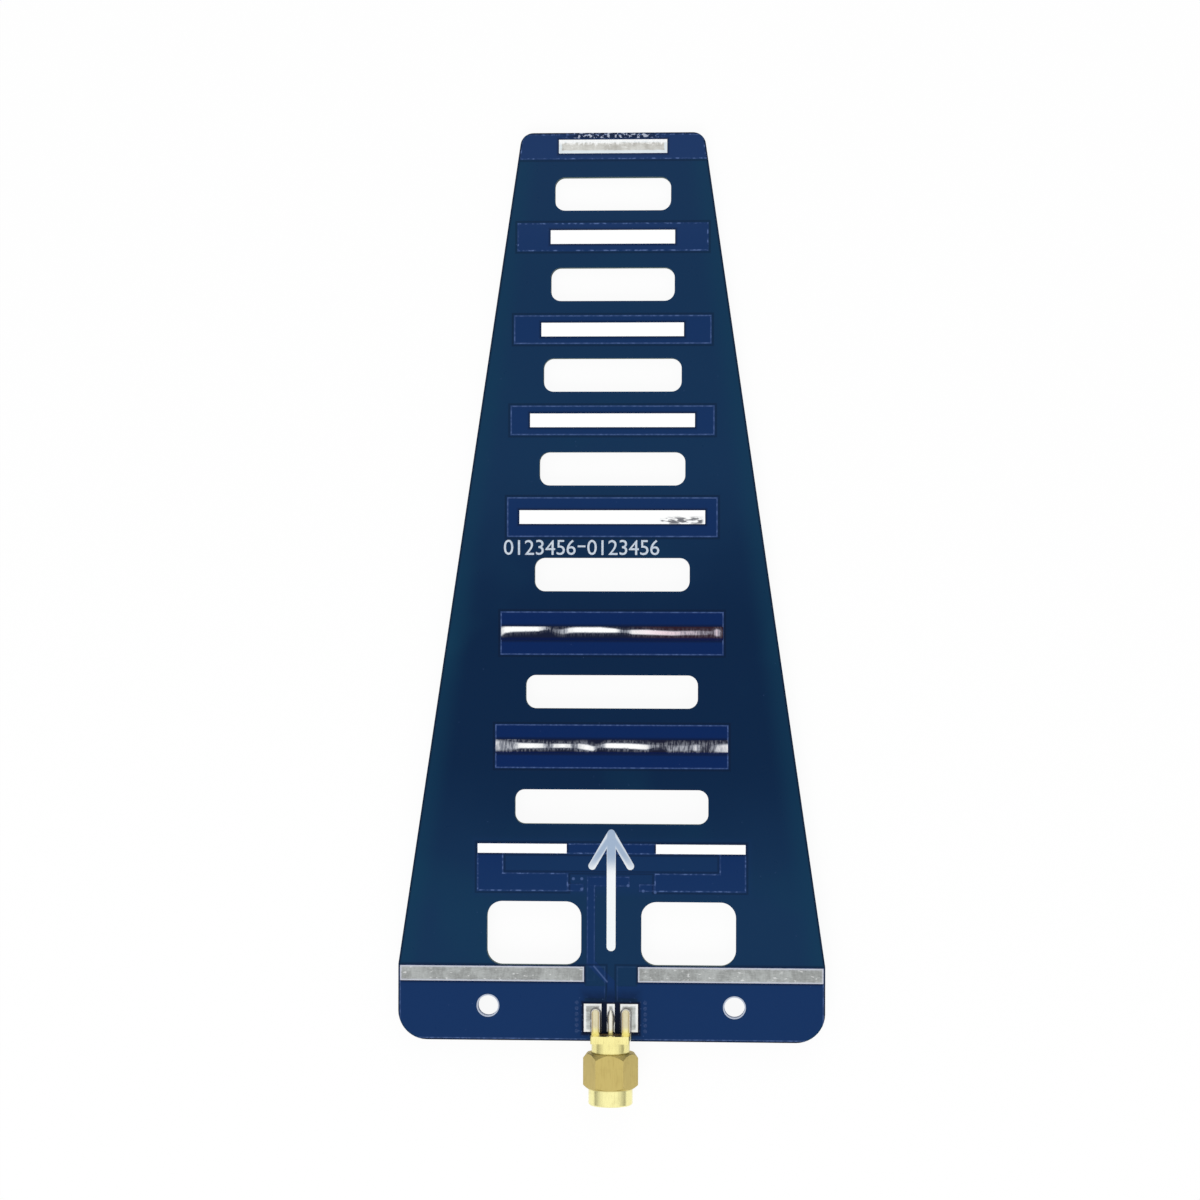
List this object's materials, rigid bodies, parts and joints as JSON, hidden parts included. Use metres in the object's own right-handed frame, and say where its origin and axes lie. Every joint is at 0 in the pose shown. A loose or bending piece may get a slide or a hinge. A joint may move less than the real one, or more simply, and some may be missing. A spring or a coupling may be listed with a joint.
{
  "type": "directional antenna",
  "caption": "Printed directional antenna: tapered circuit board with director strips and slots, folded driven element, mounting holes and an edge-mounted coaxial plug with a turning nut.",
  "frame": {"origin": "midway between the two mounting holes, in the plane of the finished back face", "axes": "+X across the board, +Y the way the antenna points, +Z out of the printed front face"},
  "size_m": [0.0716, 0.163, 0.008],
  "materials": {
    "laminate": "cut glass-epoxy edge, slightly rough",
    "solder_mask": "glossy blue solder mask",
    "masked_copper": "bright copper foil under the mask",
    "tin": "levelled tin, satin",
    "solder": "bright solder",
    "ink": "white printed ink",
    "gold": "thin gold plating on brass",
    "insulator": "white fluoroplastic",
    "seal": "silicone rubber",
    "spring_metal": "spring bronze"
  },
  "bodies": {
    "board": {"back_ground": "masked_copper", "back_pad_tin_left": "tin", "back_pad_tin_right": "tin", "balun_vias": "masked_copper", "centre_contact": "gold", "centre_pad_tin": "tin", "connector_body": "gold", "direction_arrow": "ink", "director_1": "masked_copper", "director_2": "masked_copper", "director_3": "masked_copper", "director_4": "masked_copper", "director_5": "masked_copper", "director_6": "masked_copper", "director_7": "masked_copper", "driven_element": "masked_copper", "driven_tin_left": "tin", "driven_tin_right": "tin", "feed_line": "masked_copper", "front_ground_left": "masked_copper", "front_ground_right": "masked_copper", "front_pad_tin_left": "tin", "front_pad_tin_right": "tin", "gasket": "seal", "ground_tin_left": "tin", "ground_tin_right": "tin", "ground_vias": "masked_copper", "insulator": "insulator", "laminate": "laminate", "retaining_ring": "spring_metal", "solder_back_left": "solder", "solder_back_right": "solder", "solder_front_left": "solder", "solder_front_right": "solder", "solder_mask_back": "solder_mask", "solder_mask_front": "solder_mask", "solder_pin": "solder", "tin_strip_1": "tin", "tin_strip_2": "tin", "tin_strip_3": "tin", "tin_strip_4": "tin", "tin_strip_5": "tin", "tin_strip_6": "tin", "tin_strip_7": "tin"},
    "coupling_nut": {"coupling_nut": "gold"}
  },
  "joints": [
    {"name": "coupling_nut_spin", "type": "hinge", "parent": "board", "child": "coupling_nut", "pos_m": [0, -0.0118, 0.00212], "axis": [0, 1, 0], "continuous": true}
  ]
}
